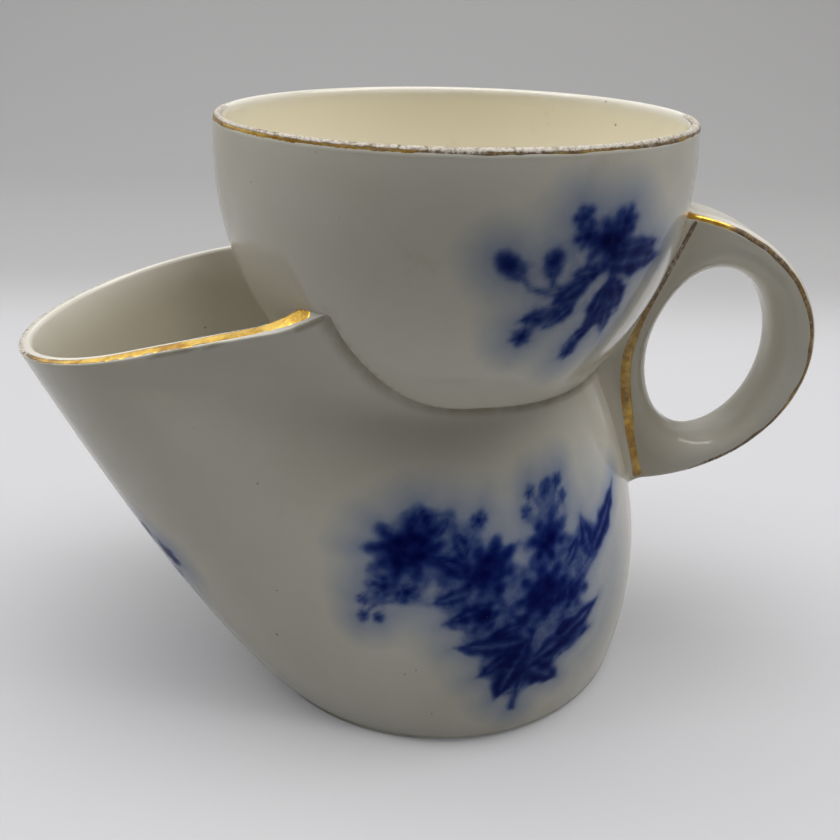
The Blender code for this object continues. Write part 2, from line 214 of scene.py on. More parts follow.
def spout_at(height, soft=0.0):
    """Back radius, tip radius, run between the two circles, and the flank's turn, at a height."""
    up = np.clip(height / SPOUT_LIP_HEIGHT, 0.0, None)
    reach = BASE_RADIUS + (SPOUT_REACH - BASE_RADIUS) * up**SPOUT_REACH_POWER
    tip = BASE_RADIUS + (SPOUT_TIP_RADIUS - BASE_RADIUS) * np.minimum(up, 1.0) ** SPOUT_WIDTH_POWER
    run = np.maximum(reach - tip, 1.5)
    back = back_radius(height, soft)
    return back, tip, run, np.arccos(np.clip((tip - back) / run, -0.9, 0.9))


def wall(column, height, inset):
    """Points (x, y, z) of the reservoir's wall: the hull of a back circle and a tip circle.

    The tip circle moves out with height. The column runs from 0 at the back through 1 and 2, the flank's
    start and end, to 3 at the tip's front, and is negative on the near side. The inset draws both circles in.
    """
    column, height, inset = np.broadcast_arrays(column, height, inset)
    part = np.abs(column)
    back, tip, run, turn = spout_at(height, ease(part, 0.55, 0.95))
    slide = np.clip(part - 1.0, 0.0, 1.0)
    angle = np.where(part < 1.0, part * turn, turn + np.clip(part - 2.0, 0.0, 1.0) * (pi - turn))
    radius = back + (tip - back) * slide - inset
    x = radius * np.cos(angle) - run * slide
    return np.stack([x, radius * np.sin(angle) * np.sign(column + 1e-12), height], -1)


def wall_reach(turn_angle, height):
    """Distance of the reservoir's outside from the bowl's axis, at an angle round the axis and a height."""
    turn = spout_at(height)[3]
    back, _, _, turn = spout_at(height, ease(np.abs(turn_angle) / turn, 0.55, 0.95))
    beyond = np.clip(np.abs(turn_angle) - turn, 0.0, 1.2)
    return back / np.cos(beyond)


def wall_depth(column):
    """Thickness of the reservoir's wall: thinner towards the spout's front and on the far side.

    Beside the bowl a corner fillet thickens it, by the square of what is left of an S-curve.
    """
    part = np.abs(column)
    fillet = 1.0 - ease(part, LIP_END, LIP_END + 0.16)
    side = WALL_NEAR + (WALL_FAR - WALL_NEAR) * ease(column, 0.95, 1.3)
    return side + (WALL_TIP - side) * ease(part, 0.9, 2.3) + WALL_FILLET * fillet * fillet


def mouth_height(column):
    """Height of the sloping mouth plane over each column of the outside."""
    height = np.full(np.shape(column), SPOUT_LIP_HEIGHT)
    for _ in range(30):
        height = SPOUT_LIP_HEIGHT + MOUTH_SLOPE * (SPOUT_REACH + wall(column, height, 0.0)[..., 0])
    return height


def seat_height(column, inset, sunk=SEAT_DEPTH):
    """Height at which the wall, at that inset, has gone that deep into the bowl's side."""
    heights = np.linspace(44.0, 92.0, 241)
    column, inset = np.broadcast_arrays(column, inset)
    points = wall(column[..., None], heights, inset[..., None])
    clear = np.hypot(points[..., 0], points[..., 1]) - (bowl_radius(heights) - sunk)
    first = np.argmax(clear < 0.0, -1)
    found = (clear < 0.0).any(-1)
    before = np.maximum(first - 1, 0)
    a = np.take_along_axis(clear, before[..., None], -1)[..., 0]
    b = np.take_along_axis(clear, first[..., None], -1)[..., 0]
    share = np.clip(a / np.where(np.abs(a - b) < 1e-9, 1.0, a - b), 0.0, 1.0)
    return np.where(found, heights[before] + share * (heights[first] - heights[before]), 999.0)


# Meshes


def skin(name, grid, closed=False, material=None):
    """A closed mesh over a grid of points [row, place round the ring]: rings joined by quads.

    A fan closes each end ring. With closed, the last ring joins the first instead.
    """
    rows, ring = grid.shape[:2]
    points = grid.reshape(-1, 3)
    j = np.arange(ring)
    after = (j + 1) % ring
    i = np.arange(rows if closed else rows - 1)[:, None]
    low, high = i * ring, (i + 1) % rows * ring
    quads = np.stack([low + j, low + after, high + after, high + j], -1).reshape(-1, 4)
    triangles = np.zeros((0, 3), int)
    if not closed:
        count = len(points)
        poles = [grid[end].mean(axis=0, keepdims=True) for end in (0, -1)]
        points = np.concatenate([points, *poles])
        last = (rows - 1) * ring
        triangles = np.concatenate([np.stack([after, j, np.full(ring, count)], -1),
                                    np.stack([last + j, last + after, np.full(ring, count + 1)], -1)])
    corners = np.concatenate([quads[:, [0, 1, 2]], quads[:, [0, 2, 3]], triangles])
    a, b, c = points[corners[:, 0]], points[corners[:, 1]], points[corners[:, 2]]
    if np.einsum("ij,ij->i", a, np.cross(b, c)).sum() < 0.0:
        quads, triangles = quads[:, ::-1], triangles[:, ::-1]
    mesh = bpy.data.meshes.new(name)
    loops = np.concatenate([quads.ravel(), triangles.ravel()])
    sizes = np.concatenate([np.full(len(quads), 4), np.full(len(triangles), 3)])
    mesh.vertices.add(len(points))
    mesh.vertices.foreach_set("co", ((points + (AXIS_X, 0.0, 0.0)) * MM).ravel())
    mesh.loops.add(len(loops))
    mesh.loops.foreach_set("vertex_index", loops)
    mesh.polygons.add(len(sizes))
    mesh.polygons.foreach_set("loop_start", np.cumsum(sizes) - sizes)
    mesh.update(calc_edges=True)
    mesh.validate()
    mesh.shade_smooth()
    piece = bpy.data.objects.new(name, mesh)
    bpy.context.scene.collection.objects.link(piece)
    if material:
        mesh.materials.append(material)
    return piece


def places(piece):
    """Vertices of a piece in millimetres about the bowl's axis."""
    flat = np.empty(len(piece.data.vertices) * 3, np.float32)
    piece.data.vertices.foreach_get("co", flat)
    return flat.reshape(-1, 3).astype(float) / MM - (AXIS_X, 0.0, 0.0)


def mark(piece, name, values):
    """Stores one number for each vertex, for the material to read."""
    layer = piece.data.attributes.new(name, "FLOAT", "POINT")
    layer.data.foreach_set("value", np.asarray(values, np.float32))


def settle(piece, slot, *nodes):
    """Lets a piece ride on the part's one body and hides the nodes that it takes the place of; the slot is
    not used.
    """
    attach(piece, "root")
    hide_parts(*nodes)


# Flow-blue sprays: signed distances in millimetres, positive inside the ink


def merged(parts, melt):
    """Distance inside any of the parts, run together where they meet: the log of summed exponentials."""
    parts = np.stack(parts)
    top = parts.max(axis=0)
    return top + melt * np.log(np.exp((parts - top) / melt).sum(axis=0)) - 0.5 * melt


def flooded(parts, reach, most):
    """Distance inside the parts, with the narrow gaps between several filled, at most to that depth."""
    return np.maximum(merged(parts, 0.45), np.minimum(merged(parts, reach), most))


def oval(u, v, centre, half, turn):
    """Distance inside an oval with half axes half, its long axis turned by that many degrees."""
    c, s = cos(radians(turn)), sin(radians(turn))
    x, y = u - centre[0], v - centre[1]
    away = np.hypot((x * c + y * s) / half[0], (y * c - x * s) / half[1])
    beyond = np.hypot(x, y) * (1.0 / np.maximum(away, 1.0) - 1.0)
    return np.where(away < 1.0, (1.0 - away) * min(half), beyond)


def leaf(u, v, root, tip, width, vein=-0.25):
    """Distance inside a toothed leaf from root to tip: its half width follows a sine, less a thin vein."""
    run = np.array(tip, float) - root
    length = np.hypot(*run)
    along = ((u - root[0]) * run[0] + (v - root[1]) * run[1]) / length**2
    across = ((v - root[1]) * run[0] - (u - root[0]) * run[1]) / length
    inside = np.clip(along, 0.0, 1.0)
    teeth = 1.0 + 0.10 * np.sin(22.0 * inside + 3.0 * np.sign(across))
    edge = width * np.sin(pi * inside**0.8) * teeth
    past = np.maximum(np.abs(along - 0.5) - 0.5, 0.0) * length
    blade = edge - np.hypot(across, past)
    return np.minimum(blade, np.abs(across) - vein + np.maximum(inside - 0.75, 0.0) * 4.0)


def stem(u, v, points, width):
    """Distance inside a stroke of that width through the points, tapering to its end."""
    points = np.asarray(points, float)
    best = np.full(np.shape(u), -99.0)
    for k, (a, b) in enumerate(zip(points, points[1:])):
        run = b - a
        along = np.clip(((u - a[0]) * run[0] + (v - a[1]) * run[1]) / (run @ run), 0.0, 1.0)
        taper = width * (1.0 - 0.5 * (k + along) / len(points))
        best = np.maximum(best, taper / 2 - np.hypot(u - a[0] - along * run[0], v - a[1] - along * run[1]))
    return best


def blossom(u, v, centre, size, turn, petals=7):
    """Distance inside an open flower: a round middle with a ring of ovals."""
    parts = [0.66 * size - np.hypot(u - centre[0], v - centre[1])]
    for k in range(petals):
        angle = radians(turn) + 2 * pi * k / petals
        way = np.array([cos(angle), sin(angle)])
        petal = centre + 0.62 * size * way
        parts.append(oval(u, v, petal, (0.40 * size, 2.0 * size / petals), degrees(angle)))
    return merged(parts, 0.05 * size)


def bud(u, v, centre, size, turn):
    """Distance inside a closed bud: an oval over two small sepals at its foot."""
    way = np.array([cos(radians(turn)), sin(radians(turn))])
    side = np.array([-way[1], way[0]])
    best = oval(u, v, centre, (size, 0.72 * size), turn)
    foot = centre - 0.95 * size * way
    for flip in (-1.0, 1.0):
        tip = foot + size * (0.6 * way + 0.75 * flip * side)
        best = np.maximum(best, leaf(u, v, foot - 0.2 * size * way, tip, 0.25 * size, -0.5))
    return best


def sprig(u, v, foot, tip, size):
    """Distance inside a thin twig that carries three small round florets."""
    run = np.subtract(tip, foot)
    side = np.array([-run[1], run[0]])
    best = stem(u, v, [foot, foot + 0.6 * run, tip], 0.34 * size)
    for share, shift in ((1.0, 0.0), (0.70, 0.38), (0.55, -0.38)):
        best = np.maximum(best, blossom(u, v, foot + share * run + shift * side, size, 25 + 90 * share, 5))
    return best


def spray(u, v, stems, blossoms, leaves, buds=(), sprigs=()):
    """Distances inside each part of a spray, as a list."""
    kinds = ((stem, stems), (blossom, blossoms), (bud, buds), (leaf, leaves), (sprig, sprigs))
    return [shape(u, v, *sizes) for shape, rows in kinds for sizes in rows]


def large_spray(u, v):
    """Spray for the reservoir: flowers in a row on a short stem, broad leaves below, loose twigs above.

    A veil of blue, the outside of an oval, has run from it towards the handle.
    """
    parts = spray(
        u, v,
        stems=[
            ([(1.6, 7.6), (2, 15), (2.8, 23), (3.4, 30)], 1.3),
            ([(2.8, 24), (-3, 30), (-8, 35), (-15, 37.6), (-20, 39)], 1.4),
            ([(3, 26), (9, 30.5), (14, 34)], 1.2),
        ],
        blossoms=[
            ((-21.2, 39.8), 6.2, 18, 9), ((-7.4, 36.6), 5.8, 40, 8), ((3.6, 31), 6.2, 12, 8),
            ((3.6, 40.4), 4.7, 30, 7), ((-6.6, 28.6), 3.6, 10, 6), ((10.4, 28.8), 3.4, 55, 6),
            ((-23.6, 33.4), 2.3, 20, 5), ((-19.8, 32.8), 2, 50, 5), ((-11.2, 44.9), 1.6, 15, 5),
        ],
        leaves=[
            ((-10, 36), (-18, 39.4), 2), ((-9, 33.6), (-15.8, 31), 1.9), ((-6, 31), (-12.6, 27.4), 1.7),
            ((-11.6, 38.8), (-15.6, 43.8), 1.6), ((-20, 43), (-21.4, 47.4), 1.5),
            ((-18.6, 42), (-16.8, 45.8), 1.4), ((1, 26), (-4.6, 25), 1.5), ((8, 34), (11, 39), 1.6),
            ((14.6, 33.6), (11.4, 42), 2.1), ((13.6, 33.8), (24.2, 43.4), 2.5),
            ((2.4, 22.6), (-9.8, 23), 2.7), ((2.2, 23), (-1.6, 10.4), 3.3), ((1.6, 22), (-5.2, 16.4), 2.4),
            ((3.6, 18), (16.8, 25), 3.2), ((2.6, 17.4), (9.6, 11.6), 2.9), ((6.4, 20), (15.6, 19.6), 1.8),
        ],
        sprigs=[
            ((-23, 32), (-26.2, 27.6), 1.05), ((3, 44), (-1.2, 48.2), 1.15), ((3.8, 44), (5.4, 49), 1.15),
        ],
    )
    veil = np.minimum(0.35 * oval(u, v, (14.0, 29.0), (9.0, 15.0), 0.0), 0.0) - 2.8
    return np.maximum(flooded(parts, 1.5, -0.05), veil)


def small_spray(u, v):
    """Spray for the bowl: one open flower with buds to its left, and leafy trails that fall from it."""
    parts = spray(
        u, v,
        stems=[
            ([(21.5, 88), (18, 84.4), (14.6, 81.6), (9.4, 77)], 1),
            ([(22, 86), (22.6, 79), (19, 73)], 1),
            ([(16.4, 83.4), (12.8, 84.6), (12.3, 86.6)], 0.55),
            ([(14, 83), (9.6, 84.6), (7.6, 86.6)], 0.50),
        ],
        blossoms=[
            ((20.6, 90.2), 4.1, 30, 8), ((22.8, 92.8), 2.2, 10, 6), ((15.8, 94), 1.8, 40, 5),
            ((16.6, 91.4), 2, 10, 6), ((9.6, 76.8), 1.7, 20, 6), ((19, 72.8), 1.5, 35, 6),
        ],
        leaves=[
            ((20, 87), (33, 86.2), 2.4), ((21, 89), (31.4, 88.6), 1.5), ((19.6, 86), (15.2, 86.2), 1.5),
            ((18.4, 85.2), (13.2, 81.8), 1.7), ((16.8, 81.6), (12.6, 77.8), 1.4),
            ((13.2, 80.6), (8.6, 79.4), 1.2), ((22.4, 84.6), (26.4, 78.6), 1.9),
            ((21.6, 84), (20.4, 76), 1.7), ((23, 81), (25, 74.6), 1.5), ((21.6, 77.4), (17.6, 74.2), 1.2),
        ],
        buds=[((12.3, 88.3), 1.9, 95), ((6.2, 88.2), 2.3, 135)],
    )
    return flooded(parts, 1.0, -0.7)


def tip_spray(u, v):
    """Small spray for the front of the spout: flowers and buds over a few leaves."""
    parts = spray(
        u, v,
        stems=[([(1, 14), (0, 22), (-1, 29)], 0.9)],
        blossoms=[((-1, 31.5), 5.2, 10, 8), ((-11.4, 31.6), 2.8, 25, 6)],
        leaves=[
            ((0.2, 20), (9.4, 26.4), 2.5), ((0.4, 19.5), (-8.6, 23.4), 2.3), ((-2, 24), (-11, 27), 2.2),
            ((0.8, 16.6), (7.2, 14.6), 2), ((0.8, 17), (-6.4, 15), 2),
        ],
        buds=[((6, 34), 2.3, 60), ((-7.6, 34.6), 2.2, 120)],
        sprigs=[((3, 33), (4, 41), 1.4)],
    )
    return flooded(parts, 1.2, -0.5)


def inked(distance, outside):
    """What the glaze reads as ink: the distance raised by INK_REACH, never below 0, and 0 off the outside."""
    return np.clip(np.where(outside, distance, -99.0) + INK_REACH, 0.0, INK_REACH + 3.0)


# Materials


class Finish:
    """A node material of one surface, built up node by node."""

    def __init__(self, name):
        self.material = bpy.data.materials.new(name)
        self.material.use_nodes = True
        self.nodes = self.material.node_tree.nodes
        self.links = self.material.node_tree.links
        self.place = self.add("TexCoord", "Object", {})

    def put(self, node, inputs):
        """Sets a node's inputs, each to a number, to a colour, or by a link from another socket."""
        for key, value in inputs.items():
            if isinstance(value, bpy.types.NodeSocket):
                self.links.new(value, node.inputs[key])
            else:
                node.inputs[key].default_value = (*value, 1.0) if isinstance(value, tuple) else value

    def add(self, kind, result, inputs, **settings):
        """A new node with those settings and inputs, as the socket of its result."""
        node = self.nodes.new("ShaderNode" + kind)
        for name, value in settings.items():
            setattr(node, name, value)
        self.put(node, inputs)
        return node.outputs[result]

    def coated(self, inputs):
        """The material, with those inputs of its surface."""
        self.put(self.nodes["Principled BSDF"], inputs)
        return self.material

    def reading(self, name):
        """The number that a vertex attribute holds."""
        return self.add("Attribute", "Fac", {}, attribute_name=name)

    def noise(self, scale, detail=2.0, rough=0.5):
        """A random cloud from 0 to 1."""
        grain = {"Scale": scale, "Detail": detail, "Roughness": rough}
        return self.add("TexNoise", "Fac", {"Vector": self.place} | grain)

    def cells(self, scale):
        """Distance to the nearest of many scattered points."""
        return self.add("TexVoronoi", "Distance", {"Vector": self.place, "Scale": scale})

    def sums(self, operation, a, b):
        return self.add("Math", 0, {0: a, 1: b}, operation=operation)

    def ramp(self, value, low, high, start=0.0, end=1.0):
        """An S-curve from start at low to end at high."""
        ends = {"From Min": low, "From Max": high, "To Min": start, "To Max": end}
        return self.add("MapRange", "Result", {"Value": value} | ends, interpolation_type="SMOOTHSTEP")

    def blend(self, share, first, second, way="MIX"):
        """The first colour, and the second by its share; 6, 7 and 2 are the node's colour sockets."""
        return self.add("Mix", 2, {0: share, 6: first, 7: second}, data_type="RGBA", blend_type=way)

    def film(self, colour, amount, clearness):
        """A colour under a tinted film: each channel times its clearness to the power of the amount."""
        powers = {k: self.sums("POWER", share, amount) for k, share in enumerate(clearness)}
        return self.blend(1.0, colour, self.add("CombineColor", 0, powers), "MULTIPLY")

    def bump(self, height, strength, distance, normal=None):
        """The surface's normal tilted by a height field, on top of an earlier tilt if there is one."""
        earlier = {"Normal": normal} if normal else {}
        inputs = {"Height": height, "Strength": strength, "Distance": distance} | earlier
        return self.add("Bump", "Normal", inputs)


def glazed_white():
    """Ivory glaze over earthenware: a blue print that has run under it, grime and painted shade in the
    creases, painted shade inside and near the handle's root, and a bare foot.
    """
    f = Finish("white_glaze")
    mottle = f.ramp(f.noise(38.0, 4.0, 0.6), 0.34, 0.68)
    colour = f.blend(mottle, (0.82, 0.795, 0.72), (0.78, 0.75, 0.66))
    colour = f.blend(f.reading("cream"), colour, (0.89, 0.845, 0.71))
    # Painted shade in a brown tint: inside the reservoir, deepest towards the spout's front, and on the
    # handle's sides near its root
    colour = f.blend(f.sums("MULTIPLY", f.reading("scale"), 0.75), colour, (0.54, 0.49, 0.38))
    stain = f.sums("MULTIPLY", f.ramp(f.noise(95.0, 5.0, 0.7), 0.60, 0.80), 0.35)
    colour = f.blend(stain, colour, (0.66, 0.59, 0.45))

    edge = f.sums("ADD", f.reading("ink"), f.ramp(f.noise(380.0, 3.0, 0.6), 0.25, 0.75, -0.2, 0.2))
    depth = f.sums("SUBTRACT", edge, INK_REACH)
    strokes = f.sums("MULTIPLY", f.ramp(f.cells(430.0), 0.12, 0.62, 1.06, 0.84),
                     f.ramp(f.noise(260.0, 2.0, 0.55), 0.30, 0.66, 0.70, 1.22))
    body = f.sums("MULTIPLY", f.ramp(depth, -0.9, 1.8), strokes)
    flow = f.sums("MULTIPLY", f.sums("POWER", 2.3, f.sums("MINIMUM", depth, 0.0)), 0.18)
    haze = f.sums("MULTIPLY", f.ramp(edge, 0.0, 0.85 * INK_REACH), 0.085)
    amount = f.sums("ADD", f.sums("ADD", body, flow), haze)
    amount = f.sums("MULTIPLY", amount, f.ramp(edge, 0.0, 1.5))
    colour = f.film(colour, amount, (0.0065, 0.019, 0.215))

    # Grime and painted shade: a dark band along the crease where bowl and reservoir meet, and dark chips on
    # the spout's lip
    grime_and_shade = f.sums("MULTIPLY", f.reading("grime_and_shade"), f.ramp(f.noise(300.0, 3.0, 0.6), 0.25, 0.7, 0.55, 0.95))
    colour = f.blend(grime_and_shade, colour, (0.33, 0.29, 0.20))
    speck_size = f.ramp(f.noise(60.0, 2.0), 0.45, 0.75, 0.0, 0.075)
    speck = f.ramp(f.sums("SUBTRACT", f.cells(210.0), speck_size), -0.02, 0.01, 0.62, 0.0)
    colour = f.blend(speck, colour, (0.17, 0.13, 0.09))
    bare = f.reading("bare")
    colour = f.blend(bare, colour, (0.60, 0.52, 0.40))

    sheen = f.ramp(f.noise(70.0, 4.0, 0.6), 0.3, 0.75, 0.10, 0.19)
    sheen = f.sums("ADD", sheen, f.sums("MULTIPLY", grime_and_shade, 0.3))
    wave = f.bump(f.noise(85.0, 2.0, 0.4), 0.10, 0.0012)
    peel = f.bump(f.noise(620.0, 2.0, 0.5), 0.05, 0.0002, wave)
    return f.coated({
        "Base Color": colour,
        "Roughness": f.sums("MAXIMUM", sheen, f.sums("MULTIPLY", bare, 0.75)),
        "IOR": 1.50,
        "Specular IOR Level": f.ramp(amount, 0.1, 0.6, 0.40, 0.02),
        "Normal": f.bump(speck, 0.25, -0.0001, peel),
    })


def worn_gold():
    """Thin fired gold, rubbed to a brown and silvery film where hands and water have worn it."""
    f = Finish("worn_gold")
    rub = f.reading("rub")
    grain = f.noise(900.0, 4.0, 0.65)
    bright = f.blend(f.ramp(f.noise(190.0, 5.0, 0.68), 0.38, 0.62), (0.80, 0.52, 0.10), (0.42, 0.22, 0.025))
    tarnish = f.ramp(f.sums("ADD", rub, f.ramp(grain, 0.25, 0.75, -0.035, 0.035)), 0.26, 0.58)
    silvery = f.sums("MULTIPLY", f.ramp(f.noise(1300.0, 3.0, 0.6), 0.42, 0.74), tarnish)
    film = f.blend(silvery, (0.135, 0.085, 0.042), (0.40, 0.33, 0.24))
    colour = f.blend(tarnish, bright, film)
    ghost = f.ramp(f.sums("ADD", rub, f.ramp(f.noise(1100.0, 4.0, 0.7), 0.3, 0.7, -0.10, 0.10)), 0.58, 0.72)
    chalky = f.blend(f.ramp(f.noise(1900.0, 3.0, 0.7), 0.44, 0.62), (0.64, 0.60, 0.54), (0.36, 0.30, 0.22))
    metal = f.ramp(tarnish, 0.0, 1.0, 0.88, 0.35)
    brushed = f.bump(f.noise(260.0, 2.0, 0.5), 0.38, 0.0005)
    return f.coated({
        "Base Color": f.blend(ghost, colour, chalky),
        "Metallic": f.sums("MULTIPLY", metal, f.ramp(ghost, 0.0, 1.0, 1.0, 0.1)),
        "Roughness": f.ramp(f.sums("ADD", tarnish, grain), 0.3, 1.6, 0.24, 0.52),
        "Normal": f.bump(f.noise(1100.0, 4.0, 0.6), 0.08, 0.0002, brushed),
    })


def seen_rays(nodes, links):
    """1 for rays from the eye, off a shiny surface or through one, else 0: the greatest of three flags."""
    path = nodes.new("ShaderNodeLightPath").outputs
    greatest = path["Is Camera Ray"]
    for flag in ("Is Glossy Ray", "Is Transmission Ray"):
        node = nodes.new("ShaderNodeMath")
        node.operation = "MAXIMUM"
        links.new(greatest, node.inputs[0])
        links.new(path[flag], node.inputs[1])
        greatest = node.outputs[0]
    return greatest


def pale_table():
    """Matt paper sweep: pale to the eye and in the glaze, and darker for the light that it throws back."""
    f = Finish("pale_table")
    shade = f.ramp(f.noise(5.0, 3.0), 0.3, 0.7)
    seen = seen_rays(f.nodes, f.links)
    back = f.ramp(f.add("SeparateXYZ", "Y", {0: f.place}), 0.13, 0.27)
    high = f.ramp(f.add("SeparateXYZ", "Z", {0: f.place}), 0.18, 0.36, 0.0, 0.6)
    pale = f.blend(shade, (0.545, 0.545, 0.572), (0.535, 0.535, 0.562))
    pale = f.blend(back, pale, (0.455, 0.455, 0.465))
    glow = f.sums("ADD", f.ramp(back, 0.0, 1.0, 0.12, 0.02), high)
    return f.coated({
        "Base Color": f.blend(seen, (0.36, 0.36, 0.348), pale),
        "Emission Color": (0.97, 0.98, 1.0),
        "Emission Strength": f.sums("MULTIPLY", seen, glow),
        "Roughness": 0.55,
        "Specular IOR Level": 0.2,
    })


# Soap bowl


def bowl_profile():
    """Rings of the bowl as (radius, height): under the floor, up outside, over the oval lip, down inside."""
    side = BOWL_SIDE
    run = np.gradient(side, axis=0)
    run /= np.linalg.norm(run, axis=1, keepdims=True)
    run[0], run[-1] = (1.0, 0.0), (0.0, 1.0)
    up = np.clip((side[:, 1:] - WAIST_HEIGHT) / (BOWL_SHOULDER - WAIST_HEIGHT), 0.0, 1.0)
    inner = side - (BOWL_WALL + (RIM_WALL - BOWL_WALL) * up) * np.stack([run[:, 1], -run[:, 0]], axis=1)
    heights = np.concatenate([np.linspace(BOWL_FLOOR_HEIGHT, 57.0, 9)[1:-1], np.arange(57.0, 64.0, 0.35),
                              np.arange(64.0, BOWL_SHOULDER, 0.46), [BOWL_SHOULDER]])
    outside = np.stack([np.interp(heights, side[:, 1], side[:, 0]), heights], axis=1)
    turns = np.linspace(0.0, pi, 19)[1:-1]
    middle = (side[-1] + inner[-1]) / 2
    lip = middle + np.stack([RIM_WALL / 2 * np.cos(turns), LIP_RISE * np.sin(turns)], axis=1)
    inside = inner[::-1][::7]
    floor_radii = np.linspace(BOWL_FLOOR_RADIUS, 1.0, 12)
    under = np.stack([floor_radii[::-1], np.full(12, BOWL_FLOOR_HEIGHT)], axis=1)
    floor = np.stack([floor_radii, np.full(12, BOWL_FLOOR_HEIGHT + BOWL_WALL)], axis=1)
    return np.concatenate([under, outside, lip, inside, floor[1:]])


def soap_bowl(glaze):
    """The bowl turned about its axis: radius and height of each profile ring at each turn."""
    arcs = spread([(8.0, 1.2), (54.0, 0.46), (128.0, 1.3), (180.0, 1.3), (228.0, 1.1)],
                  2 * pi * BOWL_PRINT_RADIUS)
    turns = (arcs[:-1] - 14.0) / BOWL_PRINT_RADIUS - pi / 2
    profile = bowl_profile()
    radius, height = profile[:, :1], np.broadcast_to(profile[:, 1:], (len(profile), len(turns)))
    grid = np.stack([radius * np.cos(turns), radius * np.sin(turns), height], -1)
    piece = skin("soap_bowl_glazed", grid)
    pierce(piece)
    piece.data.materials.append(glaze)
    x, y, z = places(piece).T
    near_arc = BOWL_PRINT_RADIUS * (np.arctan2(y, x) + pi / 2)
    far_arc = BOWL_PRINT_RADIUS * (np.arctan2(-y, x) + pi / 2)
    outside = np.hypot(x, y) > bowl_radius(z) - 0.8
    ink = np.maximum(small_spray(near_arc, z), small_spray(FAR_SMALL_SPRAY_ARC - far_arc, z))
    mark(piece, "ink", inked(ink, outside))
    # Grime and painted shade: a thin dark line on the bowl where the reservoir meets it
    gap = np.hypot(x, y) - wall_reach(np.arctan2(y, x), z)
    mark(piece, "grime_and_shade", np.where(outside & (z < 80.0), 0.5 * np.exp(-np.abs(gap) / 0.15), 0.0))
    mark(piece, "cream", np.where(outside, 0.0, 1.0) * ease(BOWL_SHOULDER + LIP_RISE - z, 0.3, 3.0))
    return piece


def pierce(bowl):
    """Cuts the drain holes: waisted plugs, wider at both faces of the floor, are taken out of the bowl."""
    level = np.linspace(-BOWL_WALL, BOWL_WALL, 21)
    flare = np.maximum(np.abs(level) - 1.0, 0.0)
    rounded = np.sqrt(np.maximum(DRAIN_FLARE**2 - flare**2, 0.0))
    radius = DRAIN_RADIUS + DRAIN_FLARE - rounded + np.maximum(flare - DRAIN_FLARE, 0.0)
    turns = np.linspace(0.0, 2 * pi, 33)[:-1]
    middle = BOWL_FLOOR_HEIGHT + BOWL_WALL / 2
    sixths = [k * pi / 3 for k in range(6)]
    spots = [(0.0, 0.0)] + [(DRAIN_CIRCLE * cos(a), DRAIN_CIRCLE * sin(a)) for a in sixths]
    for x, y in spots:
        grid = np.stack([x + radius[:, None] * np.cos(turns), y + radius[:, None] * np.sin(turns),
                         np.broadcast_to(middle + level[:, None], (len(level), len(turns)))], -1)
        plug = skin("drain_plug", grid)
        cut = bowl.modifiers.new("drain", "BOOLEAN")
        cut.operation = "DIFFERENCE"
        cut.solver = "EXACT"
        cut.object = plug
        bpy.context.view_layer.update()
        cut_mesh = bpy.data.meshes.new_from_object(bowl.evaluated_get(bpy.context.evaluated_depsgraph_get()))
        bowl.modifiers.clear()
        bowl.data = cut_mesh
        bpy.data.objects.remove(plug, do_unlink=True)


# Reservoir


def mouth_edge(column, share, lift=0.0):
    """Inset and height of a point across the lip of the mouth: share 0 is the outside, share 1 the inside.

    A quarter oval forms the outer shoulder, then comes a flat top that rises inwards, then a quarter oval.
    Beside the bowl all of them curl up by the square of what is left of the way to its side.
    """
    column, share = np.broadcast_arrays(column, share)
    turn = np.clip(share / LIP_TOP_START, 0.0, 1.0) * pi / 2
    flat = np.clip((share - LIP_TOP_START) / (LIP_TOP_END - LIP_TOP_START), 0.0, 1.0)
    fall = np.clip((share - LIP_TOP_END) / (1.0 - LIP_TOP_END), 0.0, 1.0) * pi / 2
    shoulder, top, inner = LIP_PARTS
    inset = wall_depth(column) * (shoulder * (1 - np.cos(turn)) + top * flat + inner * np.sin(fall))
    rise = MOUTH_OUTER_ROUND * (np.sin(turn) - 1) + MOUTH_TILT * (flat - 1)
    rise = rise + MOUTH_INNER_ROUND * (np.cos(fall) - 1)
    across = np.where(share < 0.5, -np.cos(turn), np.sin(fall))
    upward = np.where(share < 0.5, np.sin(turn), np.cos(fall))
    height = mouth_height(column) + rise
    points = wall(column, height, inset)
    gap = np.hypot(points[..., 0], points[..., 1]) - bowl_radius(height)
    near = np.clip(1.0 - gap / LIP_CURL_RUN, 0.0, 1.0)
    return inset + lift * across, height + LIP_CURL * near**2 + lift * upward


def columns():
    """Column places round the reservoir, close together where the sprays are, and closer on the near side."""
    halves = []
    for print_step in (0.46, 0.70):
        zones = [(14.0, 1.2), (76.0, print_step), (98.0, 1.2), (COLUMN_ARCS[-1], 0.75)]
        halves.append(np.interp(spread(zones, COLUMN_ARCS[-1]), COLUMN_ARCS, range(4)))
    near, far = halves
    return np.concatenate([-near[::-1][:-1], far[:-1]])


